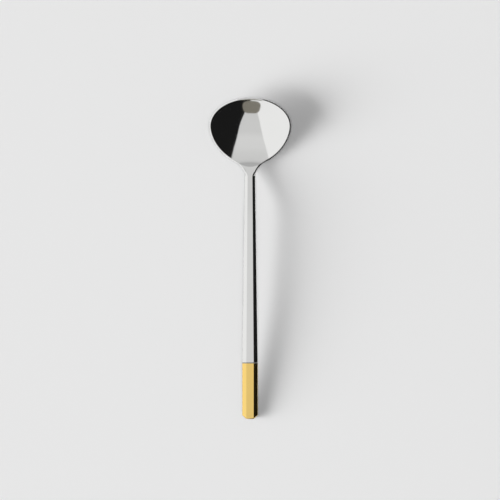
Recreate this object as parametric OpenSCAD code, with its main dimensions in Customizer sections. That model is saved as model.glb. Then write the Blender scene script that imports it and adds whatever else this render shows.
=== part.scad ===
// Ice cream spoon, forged in one piece: a wide hollow bowl, a flat neck and a flattened six-sided handle.
// It lies as it rests on a table, with +Z up and +Y towards the bowl's tip.
// The origin is on the table, under the middle of its length.

/* [Overall] */
// Length from the tip of the bowl to the end of the handle
spoon_l = 150; // [135:1:180]

/* [Bowl outline] */
// Width across the bowl
bowl_w = 38.2; // [30:0.2:46]
// Length of the hollow, from the tip to the crease at the neck
bowl_l = 32.2; // [28:0.2:40]
// Distance from the tip back to the widest line
widest_l = 13.2; // [10:0.2:17]
// Fullness of the outline behind the widest line, where 2 is an ellipse
back_fullness = 1.8; // [1.6:0.05:2.2]

/* [Bowl section] */
// Distance from the tip back to the deepest point of the hollow
deepest_l = 22; // [19:0.5:24]
// Rise of the hollow from its deepest point to the tip
tip_rise = 11.2; // [7:0.1:13]
// Slope of the hollow where it meets the crease, as a rise for each unit of length
crease_slope = 0.784; // [0.5:0.01:0.95]
// Rise of the hollow across its half-width, at the widest line
side_rise = 6.8; // [4:0.1:8]
// Cross curve at the crease, as a share of that at the widest line
crease_curve = 0.3; // [0.1:0.05:1]
// Thickness of the floor at the deepest point
floor_t = 1.6; // [1.2:0.1:2.4]
// Thickness of the wall at the rim
rim_t = 0.9; // [0.7:0.05:1.2]

/* [Neck] */
// Half-width at which the neck's curve leaves the outline of the bowl
flare_w = 7; // [5.5:0.1:9]
// Distance from the crease back to the end of the handle's side facets
neck_l = 5.1; // [3.5:0.1:8]
// Pull of the neck's curve towards its corner
flare_pull = 0.5; // [0.4:0.05:0.75]
// Slope of the neck at the crease, as a fall for each unit of length
neck_fall = 0.3; // [0.05:0.05:0.5]

/* [Handle] */
// Width of the handle at the neck
neck_w = 4.9; // [4:0.1:6]
// Width of the handle over its end
end_w = 7.35; // [6:0.05:9]
// Width of the middle facet, as a share of the handle's width
facet_share = 0.48; // [0.35:0.01:0.6]
// Slope of the side facets, in degrees
facet_slope = 40; // [30:1:45]
// Height of the blunt edge between the upper and lower side facets
edge_h = 0.9; // [0.3:0.05:1.6]
// Height of the handle's back above the table at the top of its arch
arch_h = 12.6; // [10:0.1:18]
// Distance from the crease back to the top of the arch
arch_l = 29; // [24:1:50]
// Cut across each corner of the end
end_cut = 1.75; // [1:0.05:2]
// Bulge of the end, from its corners to its middle
end_bulge = 0.15; // [0:0.05:0.4]

/* [Gilded end] */
// Length of the gilded end
gilded_l = 26.1; // [10:0.1:50]
// Width of the groove where the gilding stops
groove_w = 0.45; // [0.3:0.05:0.8]
// Depth of that groove
groove_d = 0.12; // [0.06:0.02:0.2]

/* [Hidden] */

// Steps of the surface along each stretch of the outline, from the handle's end to the tip
GILDED_STEPS = 5;
HANDLE_STEPS = 10;
KNEE_STEPS = 11;
FLARE_STEPS = 8;
BACK_STEPS = 14;
FRONT_STEPS = 7;
// Steps across half of a middle facet and across one side facet
MIDDLE_STEPS = 5;
SIDE_STEPS = 6;
// Points of the rounded rim between the upper and the lower surface
RIM_STEPS = 3;

// Places along the axis, and the rise of the hollow from its deepest point to the crease
tip_y = spoon_l / 2;
end_y = -spoon_l / 2;
widest_y = tip_y - widest_l;
deepest_y = tip_y - deepest_l;
crease_y = tip_y - bowl_l;
crease_rise = crease_slope * (deepest_y - crease_y) / 2;
facet_y = crease_y - neck_l;
gilded_y = end_y + gilded_l;
arch_y = crease_y - arch_l;
half_bowl_w = bowl_w / 2;

// The outline behind the widest line is a superellipse that would close just past the crease
BACK_GAP = 0.5;
back_l = crease_y + BACK_GAP;
back_a = widest_y - back_l;
// Angle on the outline in front where its sides hand over to the arc of the tip
CORNER = 45;
// Angle on the outline behind where the neck's curve starts
flare_angle = acos(pow(flare_w / half_bowl_w, back_fullness / 2));

// Rounding of the edges: how far in from the outline the upper and lower surfaces stop
NECK_ROUND = 0.4;
HANDLE_ROUND = 0.25;
// Softness of the long edges between the facets, as a share of the half-width
EDGE_SOFT = 0.03;

function mix(a, b, t) = a + (b - a) * t;
function clamp01(t) = min(1, max(0, t));
function smooth(t) = let (c = clamp01(t)) c * c * (3 - 2 * c);

// Height on a curve from level a to b over length l, with a slope at b and no curvature at either end
function knee(a, b, slope, l, t) =
    mix(a, b, pow(t, 3) * (10 - 15 * t + 6 * t * t)) - l * slope * pow(t, 3) * (1 - t) * (4 - 3 * t);

// Points and outward normals of the right-hand outline, station by station
function front_point(a) = [half_bowl_w * sin(a), widest_y + widest_l * cos(a)];
function front_normal(a) =
    let (n = [sin(a) / half_bowl_w, cos(a) / widest_l]) n / norm(n);
function back_point(a) = [
    half_bowl_w * pow(cos(a), 2 / back_fullness),
    widest_y - back_a * pow(sin(a), 2 / back_fullness)
];
function back_normal(a) =
    let (
        p = back_fullness - 1,
        n = [
            pow(pow(cos(a), 2 / back_fullness), p) / half_bowl_w,
            -pow(pow(sin(a), 2 / back_fullness), p) / back_a
        ]
    ) n / norm(n);

// Half-width of the tapered handle, parallel over its gilded end
function handle_hw(y) =
    mix(neck_w, end_w, clamp01((facet_y - y) / (facet_y - gilded_y))) / 2;
function middle_hw(y) = facet_share * handle_hw(y);

// The neck's curve: a Bezier from the bowl's outline to the handle's side
flare_top = back_point(flare_angle);
flare_top_n = back_normal(flare_angle);
side_y = facet_y + handle_hw(facet_y) - middle_hw(facet_y);
flare_end = [handle_hw(facet_y), side_y];
flare_run = (flare_top[0] - flare_end[0]) / -flare_top_n[1];
flare_corner_y = flare_top[1] - flare_run * flare_top_n[0];
flare_top_pull = flare_top + flare_pull * flare_run * [flare_top_n[1], -flare_top_n[0]];
flare_end_pull = flare_end + [0, flare_pull * (flare_corner_y - flare_end[1])];

function bezier(a, b, c, d, t) =
    a * pow(1 - t, 3) + b * 3 * pow(1 - t, 2) * t + c * 3 * (1 - t) * pow(t, 2) + d * pow(t, 3);
function bezier_way(a, b, c, d, t) =
    (b - a) * pow(1 - t, 2) + (c - b) * 2 * (1 - t) * t + (d - c) * pow(t, 2);
function flare_point(t) = bezier(flare_end, flare_end_pull, flare_top_pull, flare_top, t);
function flare_normal(t) =
    let (w = bezier_way(flare_end, flare_end_pull, flare_top_pull, flare_top, t))
    [w[1], -w[0]] / norm(w);

// A mitred corner where two straight edges meet at 45 degrees
MITRE = 1 / cos(22.5);
cut_y = end_y + end_cut;
end_hw = end_w / 2;

// Each station: point on the outline, its outward normal, the kind of stretch and the depth of the groove
HANDLE = 0;
FLARE = 1;
BOWL = 2;
groove_ramp = groove_w / 4;
stations = concat(
    [[[end_hw - end_cut, end_y + end_bulge], MITRE * [sin(22.5), -cos(22.5)], HANDLE, 0]],
    [[[end_hw, cut_y], MITRE * [cos(22.5), -sin(22.5)], HANDLE, 0]],
    [for (k = [1:GILDED_STEPS])
        [[end_hw, mix(cut_y, gilded_y, k / GILDED_STEPS)], [1, 0], HANDLE, 0]],
    [for (y = [gilded_y + groove_ramp, gilded_y + groove_w - groove_ramp])
        [[handle_hw(y), y], [1, 0], HANDLE, groove_d]],
    [for (k = [0:HANDLE_STEPS - 1])
        let (y = mix(gilded_y + groove_w, arch_y, k / HANDLE_STEPS))
        [[handle_hw(y), y], [1, 0], HANDLE, 0]],
    [for (k = [0:KNEE_STEPS])
        let (y = mix(arch_y, side_y, k / KNEE_STEPS))
        [[handle_hw(y), y], [1, 0], HANDLE, 0]],
    [for (k = [1:FLARE_STEPS - 1])
        [flare_point(k / FLARE_STEPS), flare_normal(k / FLARE_STEPS), FLARE, 0]],
    [for (k = [0:BACK_STEPS - 1])
        let (a = flare_angle * (1 - k / BACK_STEPS)) [back_point(a), back_normal(a), BOWL, 0]],
    [for (k = [0:FRONT_STEPS])
        let (a = mix(90, CORNER, k / FRONT_STEPS)) [front_point(a), front_normal(a), BOWL, 0]]
);
LAST = len(stations) - 1;

// Columns across the spoon, with a pair at each long edge between the facets
half_columns = concat(
    [for (i = [0:MIDDLE_STEPS]) (facet_share - EDGE_SOFT) * i / MIDDLE_STEPS],
    [for (i = [0:SIDE_STEPS]) mix(facet_share + EDGE_SOFT, 1, i / SIDE_STEPS)]
);
SIDE = len(half_columns) - 1;
columns = concat([for (i = [SIDE:-1:1]) -half_columns[i]], half_columns);
WIDE = len(columns);

// A point of the outline, moved in by an inset
function edge_point(j, inset) = stations[j][0] - (inset + stations[j][3]) * stations[j][1];

// Where a station crosses the axis: the bowl's lines run from the crease to the tip
function axis_y(j, inset) =
    let (s = stations[j], y = edge_point(j, inset)[1], crease_edge_y = flare_top[1] - inset * flare_top_n[1])
    s[2] == BOWL
        ? crease_y + (y - crease_edge_y) / (edge_point(LAST, inset)[1] - crease_edge_y)
            * (tip_y - inset - crease_y)
        : s[2] == FLARE
        ? facet_y + (y - side_y) / (crease_edge_y - side_y) * (crease_y - facet_y)
        : j == 0
        ? end_y + inset
        : y - (side_y - facet_y) * smooth(1 - (side_y - s[0][1]) / arch_l);

// How far a station of the neck's curve lies on the way from the side facets to the crease
function flare_share(j) = (stations[j][0][1] - side_y) / (flare_top[1] - side_y);

// How a station's line bends from the axis (0) to the outline (1)
function arc_bend(u) = (1 - sqrt(1 - pow(u * sin(CORNER), 2))) / (1 - cos(CORNER));
function wing_bend(u) = max(0, abs(u) - facet_share) / (1 - facet_share);
function bend(j, u) =
    let (s = stations[j])
    s[2] == BOWL ? arc_bend(u)
        : s[2] == FLARE
        ? mix(wing_bend(u), arc_bend(u), flare_share(j))
        : wing_bend(u);

// Plan of the grid: station j, column u, inset from the outline.
// Between the cut corners of the end the columns of the middle facet draw in.
END_MIDDLE = 0.75;
function plan(j, u, inset) =
    let (
        e = edge_point(j, inset),
        m = min(middle_hw(e[1]), END_MIDDLE * e[0]),
        x = stations[j][2] == HANDLE
            ? (abs(u) <= facet_share
                ? abs(u) / facet_share * m
                : mix(m, e[0], (abs(u) - facet_share) / (1 - facet_share)))
            : abs(u) * e[0]
    )
    [sign(u) * x, mix(axis_y(j, inset), e[1], bend(j, u))];

// The hollow: a curve along the axis, with a parabola across it that flattens behind the widest line
side_curve = side_rise / pow(half_bowl_w, 2);
function along(y) =
    y > deepest_y
        ? tip_rise * pow((y - deepest_y) / deepest_l, 2)
        : crease_rise * pow((deepest_y - y) / (deepest_y - crease_y), 2);
function along_slope(y) =
    y > deepest_y
        ? 2 * tip_rise * (y - deepest_y) / pow(deepest_l, 2)
        : -2 * crease_rise * (deepest_y - y) / pow(deepest_y - crease_y, 2);
function backness(y) = clamp01((widest_y - y) / (widest_y - crease_y));
function across(y) = side_curve * (1 - (1 - crease_curve) * pow(backness(y), 2));
function across_slope(y) =
    2 * side_curve * (1 - crease_curve) * backness(y) / (widest_y - crease_y);
function hollow_z(x, y) = floor_t + along(y) + across(y) * x * x;
function hollow_lean(x, y) = norm([1, 2 * across(y) * x, along_slope(y) + across_slope(y) * x * x]);

// The back of the handle and neck, along the axis
crease_z = floor_t + crease_rise;
function handle_t(y) =
    2 * (handle_hw(y) - middle_hw(y)) * tan(facet_slope) + edge_h;
end_t = handle_t(end_y);
// The rounded lower edge of the end touches the table
end_z = end_t - HANDLE_ROUND * 2 * (arch_h - end_t) / (arch_y - end_y);
function back_z(y) =
    y < arch_y
        ? mix(end_z, arch_h, 1 - pow((arch_y - y) / (arch_y - end_y), 2))
        : y < crease_y
        ? knee(arch_h, crease_z, -neck_fall, arch_l, (y - arch_y) / arch_l)
        : crease_z - neck_fall * (y - crease_y);

// Drop of the side facets below the middle facet
function facet_drop(j, x, y) =
    stations[j][2] == HANDLE ? tan(facet_slope) * max(0, abs(x) - middle_hw(y)) : 0;

// Wall of the bowl, thinning from the floor to the rim
function wall_t(u, y) =
    mix(rim_t, floor_t, (1 - u * u) * (1 - pow(clamp01((y - deepest_y) / deepest_l), 2)));

// The neck settles by this much, as a square towards the crease, so that its sides meet the hollow there
CREASE = 4 + GILDED_STEPS + HANDLE_STEPS + KNEE_STEPS + FLARE_STEPS;
function settle(j, u, inset) =
    let (c = plan(CREASE, u, inset)) flare_share(j) ^ 2 * (hollow_z(c[0], c[1]) - back_z(c[1]));

// Upper and lower surface at a station and column
function upper(j, u, inset) =
    let (p = plan(j, u, inset))
    [
        p[0],
        p[1],
        stations[j][2] == BOWL
            ? hollow_z(p[0], p[1])
            : stations[j][2] == FLARE
            ? back_z(p[1]) + settle(j, u, inset)
            : back_z(p[1]) - facet_drop(j, p[0], p[1]) - stations[j][3]
    ];
UNDER_BLEND = [-1.8, 6.2];
function lower(j, u, inset) =
    let (
        p = plan(j, u, inset),
        bowl = hollow_z(p[0], p[1]) - wall_t(u, p[1]) * hollow_lean(p[0], p[1]),
        bar = back_z(p[1]) - handle_t(p[1]) + facet_drop(j, p[0], p[1]) + stations[j][3],
        t = smooth((p[1] - crease_y - UNDER_BLEND[0]) / (UNDER_BLEND[1] - UNDER_BLEND[0]))
    )
    [p[0], p[1], mix(bar, bowl, t)];

// Insets at which the rounding of the edge starts, above and below
bowl_upper_round = 0.8 * rim_t;
bowl_lower_round = 0.2 * rim_t;
function round_share(j) = smooth((stations[j][0][1] - crease_y) / (widest_y - crease_y));
function edge_round(j, bowl_round) =
    stations[j][2] == HANDLE ? HANDLE_ROUND
        : stations[j][2] == FLARE ? NECK_ROUND
        : mix(NECK_ROUND, bowl_round, round_share(j));

// The outline as a closed run of grid places, counter-clockwise from above
rim_places = concat(
    [for (i = [0:WIDE - 2]) [0, i]],
    [for (j = [0:LAST - 1]) [j, WIDE - 1]],
    [for (i = [WIDE - 1:-1:1]) [LAST, i]],
    [for (j = [LAST:-1:1]) [j, 0]]
);
ROUND_REACH = 1.1;
TANGENT_STEP = 0.1;
function rim_point(place, t) =
    let (
        j = place[0],
        u = columns[place[1]],
        up_in = edge_round(j, bowl_upper_round),
        low_in = edge_round(j, bowl_lower_round),
        reach = ROUND_REACH * (up_in + low_in) / 2 / TANGENT_STEP,
        a = upper(j, u, up_in),
        d = lower(j, u, low_in)
    )
    bezier(
        a,
        a + (a - upper(j, u, up_in + TANGENT_STEP)) * reach,
        d + (d - lower(j, u, low_in + TANGENT_STEP)) * reach,
        d,
        t
    );

AROUND = len(rim_places);
LOWER_FIRST = WIDE * (LAST + 1);
RIM_FIRST = 2 * LOWER_FIRST;
surface_points = concat(
    [for (j = [0:LAST]) for (u = columns) upper(j, u, edge_round(j, bowl_upper_round))],
    [for (j = [0:LAST]) for (u = columns) lower(j, u, edge_round(j, bowl_lower_round))],
    [for (r = [1:RIM_STEPS]) for (place = rim_places) rim_point(place, r / (RIM_STEPS + 1))]
);

function grid(j, i) = j * WIDE + i;
function rim_index(r, k) =
    let (place = rim_places[k % AROUND], g = grid(place[0], place[1]))
    r == 0 ? g : r == RIM_STEPS + 1 ? LOWER_FIRST + g : RIM_FIRST + (r - 1) * AROUND + k % AROUND;

// Two triangles for each cell, split towards the bowl's rim so that both halves match
function cell(j, i) =
    let (a = grid(j, i), b = grid(j, i + 1), c = grid(j + 1, i + 1), d = grid(j + 1, i))
    i < SIDE ? [[a, d, b], [b, d, c]] : [[a, c, b], [a, d, c]];
surface_faces = concat(
    [for (j = [0:LAST - 1]) for (i = [0:WIDE - 2]) for (f = cell(j, i)) f],
    [for (j = [0:LAST - 1]) for (i = [0:WIDE - 2]) for (f = cell(j, i))
        [for (v = [2:-1:0]) LOWER_FIRST + f[v]]],
    [for (r = [0:RIM_STEPS]) for (k = [0:AROUND - 1])
        for (f = [
            [rim_index(r, k), rim_index(r, k + 1), rim_index(r + 1, k + 1)],
            [rim_index(r, k), rim_index(r + 1, k + 1), rim_index(r + 1, k)]
        ]) f]
);

module spoon() {
    color("silver")
        polyhedron(points = surface_points, faces = surface_faces, convexity = 6);
}

spoon();
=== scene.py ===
import math
from collections import namedtuple

import bmesh
import bpy
from mathutils import Matrix, Vector


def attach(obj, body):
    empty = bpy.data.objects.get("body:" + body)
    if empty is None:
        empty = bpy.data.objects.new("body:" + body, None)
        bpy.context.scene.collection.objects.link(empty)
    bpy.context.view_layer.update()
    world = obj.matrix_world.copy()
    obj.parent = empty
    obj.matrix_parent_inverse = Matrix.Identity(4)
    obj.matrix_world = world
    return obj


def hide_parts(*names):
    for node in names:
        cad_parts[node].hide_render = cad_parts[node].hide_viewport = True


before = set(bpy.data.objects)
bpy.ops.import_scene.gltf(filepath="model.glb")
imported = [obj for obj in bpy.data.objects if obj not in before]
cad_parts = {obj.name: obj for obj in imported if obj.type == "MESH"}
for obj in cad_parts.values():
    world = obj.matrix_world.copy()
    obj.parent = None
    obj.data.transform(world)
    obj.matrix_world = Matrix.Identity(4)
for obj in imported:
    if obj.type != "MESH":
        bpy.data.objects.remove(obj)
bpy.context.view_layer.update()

# The spoon is one forging in stainless steel: a wide hollow bowl, a flat neck, and an arched bar with six
# sides whose corners are cut at the end. The blank is a flat grid, doubled and joined round its edge, and
# each of its points is then pressed to its place between two dies, whose faces are the sizes below in mm.
MM = 0.001
TIP_Y = 75.0
END_Y = -75.0
HALF_BOWL = 19.1
BOWL_L = 32.2
WIDEST_L = 13.2
BACK_FULLNESS = 1.8
BACK_GAP = 0.5
DEEPEST_L = 22.0
TIP_RISE = 11.2
CREASE_SLOPE = 0.784
SIDE_RISE = 6.8
CREASE_CURVE = 0.3
FLOOR_T = 1.6
RIM_T = 0.9
FLARE_W = 7.0
NECK_L = 5.1
FLARE_PULL = 0.5
NECK_FALL = 0.3
NECK_HALF = 2.45
END_HALF = 3.675
FACET_SHARE = 0.48
FACET_SLOPE = math.tan(math.radians(40))
EDGE_H = 0.9
ARCH_H = 12.6
ARCH_L = 29.0
END_CUT = 1.75
END_BULGE = 0.15
GILDED_L = 26.1
GROOVE_W = 0.45
GROOVE_D = 0.12

WIDEST_Y = TIP_Y - WIDEST_L
DEEPEST_Y = TIP_Y - DEEPEST_L
CREASE_Y = TIP_Y - BOWL_L
CREASE_RISE = CREASE_SLOPE * (DEEPEST_Y - CREASE_Y) / 2
CREASE_Z = FLOOR_T + CREASE_RISE
FACET_Y = CREASE_Y - NECK_L
GILDED_Y = END_Y + GILDED_L
ARCH_Y = CREASE_Y - ARCH_L
SIDE_CURVE = SIDE_RISE / HALF_BOWL**2
BACK_A = WIDEST_Y - (CREASE_Y + BACK_GAP)
CORNER = math.radians(45)
FLARE_ANGLE = math.acos((FLARE_W / HALF_BOWL) ** (BACK_FULLNESS / 2))
END_LIFT = 0.1
HANDLE_ROUND = 0.1
END_ROUND = 0.55
LONG_EDGE_ROUND = 0.12
RIM_SLOPE = 0.6
END_SLOPE = 0.965
EDGE_TRIM = 0.045
END_MIDDLE = 0.9
RUN_OUT = 1.2


def mix(a, b, t):
    return a + (b - a) * t


def clamp(t):
    return min(1.0, max(0.0, t))


def smooth(t):
    return clamp(t) ** 2 * (3 - 2 * clamp(t))


def handle_half(y):
    return mix(NECK_HALF, END_HALF, clamp((FACET_Y - y) / (FACET_Y - GILDED_Y)))


def front_edge(a):
    normal = Vector((math.sin(a) / HALF_BOWL, math.cos(a) / WIDEST_L)).normalized()
    return Vector((HALF_BOWL * math.sin(a), WIDEST_Y + WIDEST_L * math.cos(a))), normal


def back_edge(a):
    across = math.cos(a) ** (2 / BACK_FULLNESS)
    along = math.sin(a) ** (2 / BACK_FULLNESS)
    power = BACK_FULLNESS - 1
    normal = Vector((across**power / HALF_BOWL, -(along**power) / BACK_A)).normalized()
    return Vector((HALF_BOWL * across, WIDEST_Y - BACK_A * along)), normal


# The neck's side is a curve that leaves the bowl's outline and ends along the handle's side.
SIDE_Y = FACET_Y + handle_half(FACET_Y) * (1 - FACET_SHARE)
flare_top, flare_top_normal = back_edge(FLARE_ANGLE)
flare_end = Vector((handle_half(FACET_Y), SIDE_Y))
flare_run = (flare_top.x - flare_end.x) / -flare_top_normal.y
flare_pulls = (
    flare_end,
    flare_end + Vector((0, FLARE_PULL * (flare_top.y - flare_run * flare_top_normal.x - flare_end.y))),
    flare_top + FLARE_PULL * flare_run * Vector((flare_top_normal.y, -flare_top_normal.x)),
    flare_top,
)


def bezier(points, t):
    a, b, c, d = points
    return a * (1 - t) ** 3 + b * (3 * (1 - t) ** 2 * t) + c * (3 * (1 - t) * t * t) + d * t**3


def flare_edge(t):
    a, b, c, d = flare_pulls
    way = (b - a) * (1 - t) ** 2 + (c - b) * (2 * (1 - t) * t) + (d - c) * t * t
    return bezier(flare_pulls, t), Vector((way.y, -way.x)).normalized()


# Stations along the right-hand edge, from the handle's end to the tip
Station = namedtuple("Station", "point normal stretch groove")
HANDLE, FLARE, BOWL = range(3)
MITRE = math.tan(math.radians(22.5))
CUT_Y = END_Y + END_CUT
CUT_SHARES = (0.2, 0.45, 0.7, 0.85)
cut_low = Vector((END_HALF - END_CUT, END_Y + END_BULGE))
cut_high = Vector((END_HALF, CUT_Y))
cut_normal = Vector((1, -1)).normalized()
stations = [Station(cut_low, Vector((MITRE, -1)), HANDLE, 0.0)]
stations += [Station(cut_low.lerp(cut_high, share), cut_normal, HANDLE, 0.0) for share in CUT_SHARES]
stations += [Station(cut_high, Vector((1, -MITRE)), HANDLE, 0.0)]


def handle_run(low, high, steps):
    for k in range(1, steps + 1):
        y = mix(low, high, k / steps)
        round_groove = 2 * math.pi * clamp((y - GILDED_Y) / GROOVE_W)
        groove = GROOVE_D * (1 - math.cos(round_groove)) / 2
        stations.append(Station(Vector((handle_half(y), y)), Vector((1, 0)), HANDLE, groove))


# A short step lies beside the corner at each end of the handle's side, and close ones cross the groove
SHORT_STEP = 0.2
GROOVE_MARGIN = 0.1
GILDED_STEPS = 24
GROOVE_STEPS = 15
HANDLE_STEPS = 80
FLARE_STEPS = 28
BACK_STEPS = 46
FRONT_STEPS = 24
groove_low = GILDED_Y - GROOVE_MARGIN
groove_high = GILDED_Y + GROOVE_W + GROOVE_MARGIN
handle_run(CUT_Y, CUT_Y + SHORT_STEP, 1)
handle_run(CUT_Y + SHORT_STEP, groove_low, GILDED_STEPS)
handle_run(groove_low, groove_high, GROOVE_STEPS)
handle_run(groove_high, SIDE_Y - SHORT_STEP, HANDLE_STEPS)
handle_run(SIDE_Y - SHORT_STEP, SIDE_Y, 1)
stations += [Station(*flare_edge(k / FLARE_STEPS), FLARE, 0.0) for k in range(1, FLARE_STEPS)]
CREASE = len(stations)
for k in range(BACK_STEPS):
    stations.append(Station(*back_edge(FLARE_ANGLE * (1 - k / BACK_STEPS)), BOWL, 0.0))
for k in range(FRONT_STEPS + 1):
    stations.append(Station(*front_edge(mix(math.pi / 2, CORNER, k / FRONT_STEPS)), BOWL, 0.0))
LAST = len(stations) - 1

# Columns from the middle outwards, close together over the rounding of the long edges between the facets
MIDDLE_STEPS = 18
ROUND_STEPS = 5
SIDE_STEPS = 20
ROUND_REACH = 0.08
half_columns = [mix(0, FACET_SHARE - ROUND_REACH, i / MIDDLE_STEPS) for i in range(MIDDLE_STEPS + 1)]
half_columns += [FACET_SHARE + ROUND_REACH * i / ROUND_STEPS for i in range(1 - ROUND_STEPS, ROUND_STEPS)]
half_columns += [mix(FACET_SHARE + ROUND_REACH, 1, i / SIDE_STEPS) for i in range(SIDE_STEPS + 1)]
columns = [-u for u in reversed(half_columns[1:])] + half_columns
WIDE = len(columns)


def edge_point(j, inset):
    station = stations[j]
    return station.point - (inset + station.groove) * station.normal


def flare_share(j):
    return (stations[j].point.y - SIDE_Y) / (flare_top.y - SIDE_Y)


def arc_bend(u):
    return (1 - math.sqrt(1 - (u * math.sin(CORNER)) ** 2)) / (1 - math.cos(CORNER))


def wing_bend(u):
    return max(0.0, abs(u) - FACET_SHARE) / (1 - FACET_SHARE)


def plan(j, u, inset):
    station = stations[j]
    edge = edge_point(j, inset)
    crease_edge_y = flare_top.y - inset * flare_top_normal.y
    bend = wing_bend(u)
    x = abs(u) * edge.x
    if station.stretch == BOWL:
        share = (edge.y - crease_edge_y) / (edge_point(LAST, inset).y - crease_edge_y)
        axis_y = CREASE_Y + share * (TIP_Y - inset - CREASE_Y)
        bend = arc_bend(u)
    elif station.stretch == FLARE:
        axis_y = mix(FACET_Y, CREASE_Y, (edge.y - SIDE_Y) / (crease_edge_y - SIDE_Y))
        bend = mix(bend, arc_bend(u), flare_share(j))
    else:
        axis_y = edge.y - (SIDE_Y - FACET_Y) * smooth(1 - (SIDE_Y - station.point.y) / ARCH_L)
        fold_x = min(FACET_SHARE * handle_half(edge.y), END_MIDDLE * edge.x)
        if abs(u) <= FACET_SHARE:
            x = abs(u) / FACET_SHARE * fold_x
        else:
            x = mix(fold_x, edge.x, wing_bend(u))
        if j == 0:
            axis_y = END_Y + inset
            bend = (x / edge.x) ** 2
    return math.copysign(x, u), mix(axis_y, edge.y, bend)


def hollow(x, y):
    rise, length = (CREASE_RISE, CREASE_Y - DEEPEST_Y) if y < DEEPEST_Y else (TIP_RISE, DEEPEST_L)
    along = rise * ((y - DEEPEST_Y) / length) ** 2
    along_slope = 2 * rise * (y - DEEPEST_Y) / length**2
    backness = clamp((WIDEST_Y - y) / (WIDEST_Y - CREASE_Y))
    curve = SIDE_CURVE * (1 - (1 - CREASE_CURVE) * backness**2)
    curve_slope = 2 * SIDE_CURVE * (1 - CREASE_CURVE) * backness / (WIDEST_Y - CREASE_Y)
    lean = math.hypot(1, 2 * curve * x, along_slope + curve_slope * x * x)
    return FLOOR_T + along + curve * x * x, lean


def handle_t(y):
    return 2 * handle_half(y) * (1 - FACET_SHARE) * FACET_SLOPE + EDGE_H


end_t = handle_t(END_Y)
end_z = end_t - END_LIFT * 2 * (ARCH_H - end_t) / (ARCH_Y - END_Y)


def back_z(y):
    if y < ARCH_Y:
        return mix(end_z, ARCH_H, 1 - ((ARCH_Y - y) / (ARCH_Y - END_Y)) ** 2)
    if y > CREASE_Y:
        return CREASE_Z - NECK_FALL * (y - CREASE_Y)
    t = (y - ARCH_Y) / ARCH_L
    fall = ARCH_L * NECK_FALL * t**3 * (1 - t) * (4 - 3 * t)
    return mix(ARCH_H, CREASE_Z, t**3 * (10 - 15 * t + 6 * t * t)) + fall


def facet_drop(j, x, y):
    station = stations[j]
    if station.stretch == BOWL:
        return 0.0
    beyond = abs(x) - FACET_SHARE * handle_half(y)
    if abs(beyond) < LONG_EDGE_ROUND:
        beyond = (beyond + LONG_EDGE_ROUND) ** 2 / (4 * LONG_EDGE_ROUND)
    return (1 - clamp((station.point.y - SIDE_Y) / RUN_OUT)) * FACET_SLOPE * max(0.0, beyond)


def settle(j, u, inset):
    x, y = plan(CREASE, u, inset)
    return flare_share(j) ** 2 * (hollow(x, y)[0] - back_z(y))


def upper(j, u, inset):
    x, y = plan(j, u, inset)
    station = stations[j]
    if station.stretch == BOWL:
        return Vector((x, y, hollow(x, y)[0]))
    z = back_z(y) - facet_drop(j, x, y) - station.groove
    if station.stretch == FLARE:
        z += settle(j, u, inset)
    return Vector((x, y, z))


# Underneath, the bar passes into the bowl from just behind the crease
UNDER_LEAD = 1.8
UNDER_RUN = 8.0


def lower(j, u, inset):
    x, y = plan(j, u, inset)
    z, lean = hollow(x, y)
    thinning = (1 - u * u) * (1 - clamp((y - DEEPEST_Y) / DEEPEST_L) ** 2)
    bowl = z - mix(RIM_T, FLOOR_T, thinning) * lean
    bar = back_z(y) - handle_t(y) + facet_drop(j, x, y) + stations[j].groove
    return Vector((x, y, mix(bar, bowl, smooth((y - CREASE_Y + UNDER_LEAD) / UNDER_RUN))))


# The edge is dressed with a file: it turns over at once, runs outwards in a narrow bevel as far as the
# outline, and its lower half is round. Along the handle's sides it isn't filed but only rounded off.
UPPER_SHARE = 0.8
LOWER_SHARE = 0.2
NEXT_IN = 0.1
BEVEL_PULL = 0.15
ROUND_PULL = 5.5


def filed(j):
    y = stations[j].point.y
    if y < CUT_Y:
        return smooth((CUT_Y - y) / (CUT_Y - cut_low.y))
    return smooth((y - SIDE_Y) / RUN_OUT)


def edge_round(j, share):
    widest = END_ROUND if stations[j].point.y < CUT_Y else RIM_T
    return mix(HANDLE_ROUND, share * widest, filed(j))


def rim(j, u, t):
    up_in = edge_round(j, UPPER_SHARE)
    low_in = edge_round(j, LOWER_SHARE)
    a = upper(j, u, up_in)
    d = lower(j, u, low_in)
    upper_way = a - upper(j, u, up_in + NEXT_IN)
    lower_way = d - lower(j, u, low_in + NEXT_IN)
    rise = upper_way.z / NEXT_IN
    steep, turn = (END_SLOPE, up_in / 2) if j == 0 else (RIM_SLOPE, up_in / 4)
    inset = max(EDGE_TRIM, up_in * (1 - 2 * t))
    run = up_in - inset
    turned = min(run, turn)
    z = a.z + rise * turned - (rise + steep) * turned**2 / (2 * turn) - steep * (run - turned)
    bevel = Vector((*plan(j, u, inset), z))
    if t > 0.5:
        straight_down = bevel + Vector((0, 0, (d.z - z) / 3))
        bevel = bezier((bevel, straight_down, d + lower_way * (low_in / BEVEL_PULL), d), 2 * t - 1)
    reach = ROUND_PULL * (up_in + low_in)
    return bezier((a, a + upper_way * reach, d + lower_way * reach, d), t).lerp(bevel, filed(j))


RIM_STEPS = 13
SHEETS_APART = 0.1
ON_DIE = 0.001

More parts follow.
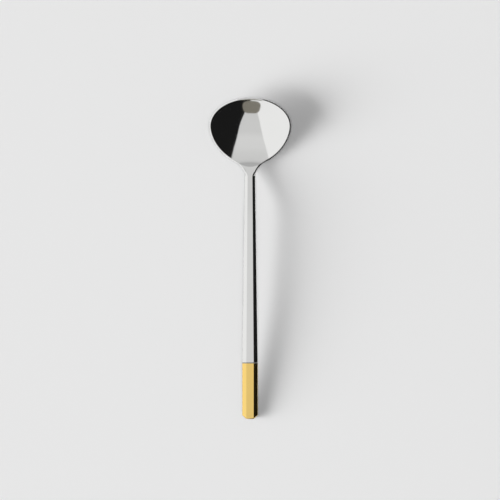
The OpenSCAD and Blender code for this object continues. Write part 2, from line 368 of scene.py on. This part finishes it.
bm = bmesh.new()
bmesh.ops.create_grid(bm, x_segments=WIDE - 1, y_segments=LAST, size=1)
station_of = bm.verts.layers.float.new("station")
column_of = bm.verts.layers.float.new("column")
depth_of = bm.verts.layers.float.new("depth")
for v in bm.verts:
    v[column_of] = (v.co.x + 1) / 2 * (WIDE - 1)
    v[station_of] = (v.co.y + 1) / 2 * LAST
under = bmesh.ops.duplicate(bm, geom=bm.faces[:])["geom"]
bmesh.ops.reverse_faces(bm, faces=[f for f in under if isinstance(f, bmesh.types.BMFace)])
for v in under:
    if isinstance(v, bmesh.types.BMVert):
        v.co.z -= SHEETS_APART
        v[depth_of] = 1.0
bmesh.ops.bridge_loops(bm, edges=[e for e in bm.edges if e.is_boundary])
across_rim = [e for e in bm.edges if e.verts[0][depth_of] != e.verts[1][depth_of]]
bmesh.ops.subdivide_edges(bm, edges=across_rim, cuts=RIM_STEPS, use_grid_fill=True)
for v in bm.verts:
    j, u, t = round(v[station_of]), columns[round(v[column_of])], v[depth_of]
    if t < ON_DIE:
        v.co = upper(j, u, edge_round(j, UPPER_SHARE))
    elif t > 1 - ON_DIE:
        v.co = lower(j, u, edge_round(j, LOWER_SHARE))
    else:
        v.co = rim(j, u, t)
bmesh.ops.recalc_face_normals(bm, faces=bm.faces)
for f in bm.faces:
    f.smooth = True
    y = f.calc_center_median().y
    f.material_index = int(y < GILDED_Y + GROOVE_W) + int(y < GILDED_Y)
bmesh.ops.scale(bm, vec=(MM, MM, MM), verts=bm.verts)
mesh = bpy.data.meshes.new("forged_spoon")
bm.to_mesh(mesh)
bm.free()
for name in ("station", "column", "depth"):
    mesh.attributes.remove(mesh.attributes[name])
spoon = bpy.data.objects.new("forged_spoon", mesh)
bpy.context.collection.objects.link(spoon)
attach(spoon, "root")
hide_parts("spoon")


# The steel is buffed to a mirror and the end is gilded over the same polish. The groove between them is
# rougher, as the buff doesn't reach it, and its colour is painted dark as shade in the groove. All three
# carry traces of the work: a fine grain along the spoon, a breath of haze, and a few hairlines from use.
GRAIN_STRETCH = 0.03
GRAIN_SHARE = 0.3
HAZE_SHARE = 0.7
HAIRLINE_W = 0.0016
HAIRLINE_PATCHES = 0.56
GRAIN_DEPTH = 0.00000012


def reckon(tree, kind, *values):
    node = tree.nodes.new("ShaderNodeMath")
    node.operation = kind
    for socket, value in zip(node.inputs, values):
        if isinstance(value, (int, float)):
            socket.default_value = value
        else:
            tree.links.new(value, socket)
    return node.outputs[0]


def blotches(tree, place, scale, detail):
    node = tree.nodes.new("ShaderNodeTexNoise")
    node.inputs["Scale"].default_value = scale
    node.inputs["Detail"].default_value = detail
    tree.links.new(place, node.inputs["Vector"])
    return node.outputs["Fac"]


polish = bpy.data.node_groups.new("traces_of_polish", "ShaderNodeTree")
polish.interface.new_socket("Place", in_out="INPUT", socket_type="NodeSocketVector")
for name in ("Keenest", "Dullest"):
    polish.interface.new_socket(name, in_out="INPUT", socket_type="NodeSocketFloat")
for name in ("Shade", "Roughness", "Height"):
    polish.interface.new_socket(name, in_out="OUTPUT", socket_type="NodeSocketFloat")
given = polish.nodes.new("NodeGroupInput")
drawn = polish.nodes.new("ShaderNodeMapping")
drawn.inputs["Scale"].default_value = (1, GRAIN_STRETCH, 1)
polish.links.new(given.outputs["Place"], drawn.inputs["Vector"])
grain = blotches(polish, drawn.outputs[0], scale=8000, detail=2)
haze = blotches(polish, given.outputs["Place"], scale=70, detail=3)
wander = blotches(polish, given.outputs["Place"], scale=85, detail=0)
patches = blotches(polish, given.outputs["Place"], scale=160, detail=1)
near_line = reckon(polish, "COMPARE", wander, 0.5, HAIRLINE_W)
used = reckon(polish, "GREATER_THAN", patches, HAIRLINE_PATCHES)
hairline = reckon(polish, "MULTIPLY", near_line, used)
hazy = reckon(polish, "MULTIPLY", haze, HAZE_SHARE)
grainy = reckon(polish, "MULTIPLY", grain, GRAIN_SHARE)
dull = reckon(polish, "MAXIMUM", reckon(polish, "ADD", hazy, grainy), hairline)
spread = reckon(polish, "SUBTRACT", given.outputs["Dullest"], given.outputs["Keenest"])
taken = polish.nodes.new("NodeGroupOutput")
roughness = reckon(polish, "MULTIPLY_ADD", dull, spread, given.outputs["Keenest"])
polish.links.new(roughness, taken.inputs["Roughness"])
polish.links.new(reckon(polish, "SUBTRACT", grain, hairline), taken.inputs["Height"])
polish.links.new(dull, taken.inputs["Shade"])


def polished_metal(name, bright, dim, keenest, dullest):
    metal = bpy.data.materials.new(name)
    metal.use_nodes = True
    tree = metal.node_tree
    shader = tree.nodes["Principled BSDF"]
    shader.inputs["Metallic"].default_value = 1.0
    place = tree.nodes.new("ShaderNodeTexCoord")
    traces = tree.nodes.new("ShaderNodeGroup")
    traces.node_tree = polish
    traces.inputs["Keenest"].default_value = keenest
    traces.inputs["Dullest"].default_value = dullest
    tree.links.new(place.outputs["Object"], traces.inputs["Place"])
    tint = tree.nodes.new("ShaderNodeMix")
    tint.data_type = "RGBA"
    tint.inputs["A"].default_value = (*bright, 1)
    tint.inputs["B"].default_value = (*dim, 1)
    tree.links.new(traces.outputs["Shade"], tint.inputs["Factor"])
    tree.links.new(tint.outputs["Result"], shader.inputs["Base Color"])
    tree.links.new(traces.outputs["Roughness"], shader.inputs["Roughness"])
    relief = tree.nodes.new("ShaderNodeBump")
    relief.inputs["Strength"].default_value = 1.0
    relief.inputs["Distance"].default_value = GRAIN_DEPTH
    tree.links.new(traces.outputs["Height"], relief.inputs["Height"])
    tree.links.new(relief.outputs["Normal"], shader.inputs["Normal"])
    mesh.materials.append(metal)


polished_metal("polished_steel", bright=(0.81, 0.81, 0.8), dim=(0.77, 0.77, 0.76), keenest=0.03, dullest=0.1)
# The groove's dark colour is painted shade; only its higher roughness is the groove's own dull finish.
polished_metal("groove_with_painted_shade", bright=(0.5, 0.49, 0.46), dim=(0.3, 0.29, 0.27), keenest=0.25, dullest=0.5)
polished_metal("gilding", bright=(0.97, 0.7, 0.235), dim=(0.93, 0.64, 0.195), keenest=0.035, dullest=0.12)

# The spoon lies on a plain pale table in a studio. Its shadow comes from a large softbox low on the left and
# a lamp overhead, with a faint light from the room. What the metal mirrors is a white wall on the left,
# black cloth on the right, a grey ceiling between them and a low dark form at the foot of the picture.
TABLE_SIZE = 6
PAPER = (0.86, 0.86, 0.86, 1)
bpy.ops.mesh.primitive_plane_add(size=TABLE_SIZE)
table = bpy.context.object
table.name = "table"
paper = bpy.data.materials.new("pale_table")
paper.use_nodes = True
matt = paper.node_tree.nodes["Principled BSDF"].inputs
matt["Base Color"].default_value = PAPER
matt["Roughness"].default_value = 0.9
matt["Specular IOR Level"].default_value = 0.0
table.data.materials.append(paper)


def fade(tree, value, low, high):
    node = tree.nodes.new("ShaderNodeMapRange")
    node.interpolation_type = "SMOOTHSTEP"
    node.inputs["From Min"].default_value = low
    node.inputs["From Max"].default_value = high
    tree.links.new(value, node.inputs["Value"])
    return node.outputs["Result"]


def axes(tree, vector):
    node = tree.nodes.new("ShaderNodeSeparateXYZ")
    tree.links.new(vector, node.inputs[0])
    return node.outputs


def lamp(name, kind, power):
    data = bpy.data.lights.new(name, kind)
    data.energy = power
    piece = bpy.data.objects.new(name, data)
    piece.visible_glossy = False
    bpy.context.collection.objects.link(piece)
    return piece


SOFTBOX_TURN = math.radians(195)
SOFTBOX_RISE = math.radians(20)
SOFTBOX_TILT = math.radians(18)
SOFTBOX_FAR = 20.0
SOFTBOX_W = 34.9
SOFTBOX_H = 12.5
SOFTBOX_POWER = 25200
SIDE_FADE = (0.36, -0.09)
FOOT_FADE = (0.0, 0.17)
OVERHEAD_POWER = 1.12
OVERHEAD_SPREAD = math.radians(14)
softbox = lamp("softbox", "AREA", SOFTBOX_POWER)
softbox.data.shape = "RECTANGLE"
softbox.data.size = SOFTBOX_W
softbox.data.size_y = SOFTBOX_H
turned = Matrix.Rotation(SOFTBOX_TURN + math.pi / 2, 4, "Z")
raised = Matrix.Rotation(math.pi / 2 - SOFTBOX_RISE, 4, "X")
set_back = Matrix.Translation((0, 0, SOFTBOX_FAR))
softbox.matrix_world = turned @ raised @ set_back @ Matrix.Rotation(SOFTBOX_TILT, 4, "Z")
softbox.data.use_nodes = True
cover = softbox.data.node_tree
on_cover = axes(cover, cover.nodes.new("ShaderNodeNewGeometry").outputs["Parametric"])
aside = reckon(cover, "ABSOLUTE", reckon(cover, "SUBTRACT", on_cover["X"], 0.5))
glow = reckon(cover, "MULTIPLY", fade(cover, aside, *SIDE_FADE), fade(cover, on_cover["Y"], *FOOT_FADE))
cover.links.new(glow, cover.nodes["Emission"].inputs["Strength"])
overhead = lamp("overhead", "SUN", OVERHEAD_POWER)
overhead.data.angle = OVERHEAD_SPREAD

TABLE_LEVEL = 0.79
ROOM_LEVEL = 0.05
WHITE = (1, 1, 1, 1)
BLACK_CLOTH = (0.012, 0.012, 0.012, 1)
LOW_FORM = (0.24, 0.225, 0.19, 1)
HORIZON = 0.02
CLOTH_EDGE = 0.474
CLOTH_SOFT = 0.01
CLOTH_LEAN = 0.0475
FOOT_SHIFT = 0.05
CEILING_SCALE = 0.125
CEILING = (
    (0.18, 0.71),
    (0.42, 0.72),
    (0.46, 0.79),
    (0.52, 0.78),
    (0.57, 0.74),
    (0.69, 0.7),
    (0.74, 0.64),
    (0.77, 0.5),
)
FORM_TURN = math.radians(1.9)
FORM_HALF_W = math.radians(10.9)
FORM_RISE = math.radians(13.3)
FORM_HALF_H = math.radians(9.1)
FORM_SQUARENESS = 3.0
FORM_FADE = (1.1, 0.9)
world = bpy.data.worlds.new("studio")
bpy.context.scene.world = world
world.use_nodes = True
studio = world.node_tree
studio.nodes.clear()


def ramp(value, stops):
    node = studio.nodes.new("ShaderNodeValToRGB")
    studio.links.new(value, node.inputs[0])
    elements = node.color_ramp.elements
    while len(elements) < len(stops):
        elements.new(0.5)
    for element, (place, level) in zip(elements, stops):
        element.position = place
        element.color = (level, level, level, 1)
    return node.outputs["Color"]


def laid_over(below, above, share):
    node = studio.nodes.new("ShaderNodeMix")
    node.data_type = "RGBA"
    for socket, value in (("A", below), ("B", above)):
        if isinstance(value, tuple):
            node.inputs[socket].default_value = value
        else:
            studio.links.new(value, node.inputs[socket])
    studio.links.new(share, node.inputs["Factor"])
    return node.outputs["Result"]


# Each direction is measured where it meets a ceiling one unit up: how far to the right, and how far away
there = axes(studio, studio.nodes.new("ShaderNodeTexCoord").outputs["Generated"])
height = reckon(studio, "MAXIMUM", there["Z"], HORIZON)
lean = reckon(studio, "MULTIPLY", reckon(studio, "ABSOLUTE", there["Y"]), CLOTH_LEAN)
leaning_height = reckon(studio, "MAXIMUM", reckon(studio, "SUBTRACT", there["Z"], lean), HORIZON)
right = reckon(studio, "DIVIDE", there["X"], leaning_height)
far = reckon(studio, "DIVIDE", there["Y"], height)
beyond_foot = reckon(studio, "MAXIMUM", reckon(studio, "SUBTRACT", -1.0, far), 0.0)
right = reckon(studio, "MULTIPLY_ADD", beyond_foot, FOOT_SHIFT, right)
ceiling = ramp(reckon(studio, "MULTIPLY_ADD", far, CEILING_SCALE, 0.5), CEILING)
on_cloth = fade(studio, right, CLOTH_EDGE - CLOTH_SOFT, CLOTH_EDGE + CLOTH_SOFT)
on_wall = fade(studio, right, CLOTH_SOFT - CLOTH_EDGE, -CLOTH_SOFT - CLOTH_EDGE)
mirrored = laid_over(laid_over(ceiling, BLACK_CLOTH, on_cloth), WHITE, on_wall)

# The low form is a rounded oblong, measured by the angles to its side and up
turn = reckon(studio, "ARCTAN2", there["X"], reckon(studio, "MULTIPLY", there["Y"], -1.0))
sideways = reckon(studio, "DIVIDE", reckon(studio, "ADD", turn, FORM_TURN), FORM_HALF_W)
elevation = reckon(studio, "ARCSINE", there["Z"])
upwards = reckon(studio, "DIVIDE", reckon(studio, "SUBTRACT", elevation, FORM_RISE), FORM_HALF_H)
sideways = reckon(studio, "POWER", reckon(studio, "ABSOLUTE", sideways), FORM_SQUARENESS)
upwards = reckon(studio, "POWER", reckon(studio, "ABSOLUTE", upwards), FORM_SQUARENESS)
low_form = fade(studio, reckon(studio, "ADD", sideways, upwards), *FORM_FADE)
mirrored = laid_over(mirrored, LOW_FORM, low_form)


def backdrop(colour, strength):
    node = studio.nodes.new("ShaderNodeBackground")
    for socket, value in (("Color", colour), ("Strength", strength)):
        if isinstance(value, (int, float, tuple)):
            node.inputs[socket].default_value = value
        else:
            studio.links.new(value, node.inputs[socket])
    return node.outputs[0]


def seen_by(ray, others, these):
    node = studio.nodes.new("ShaderNodeMixShader")
    studio.links.new(ray, node.inputs[0])
    studio.links.new(others, node.inputs[1])
    studio.links.new(these, node.inputs[2])
    return node.outputs[0]


rays = studio.nodes.new("ShaderNodeLightPath").outputs
room = seen_by(rays["Is Glossy Ray"], backdrop(WHITE, ROOM_LEVEL), backdrop(mirrored, 1.0))
room = seen_by(rays["Is Camera Ray"], room, backdrop(WHITE, TABLE_LEVEL))
studio.links.new(room, studio.nodes.new("ShaderNodeOutputWorld").inputs["Surface"])
bpy.context.scene.view_settings.view_transform = "Standard"
bpy.context.scene.cycles.caustics_reflective = False

# The camera looks straight down from well above the spoon, with the handle at the foot of the picture.
CAMERA_H = 3.0
PICTURE_W = 0.2339
PICTURE_MIDDLE_Y = 0.004
FILM_W = 36
camera_data = bpy.data.cameras.new("camera")
camera_data.sensor_width = FILM_W
camera_data.lens = FILM_W * CAMERA_H / PICTURE_W
camera_data.clip_end = 20
camera = bpy.data.objects.new("camera", camera_data)
camera.location = (0, PICTURE_MIDDLE_Y, CAMERA_H)
bpy.context.collection.objects.link(camera)
bpy.context.scene.camera = camera
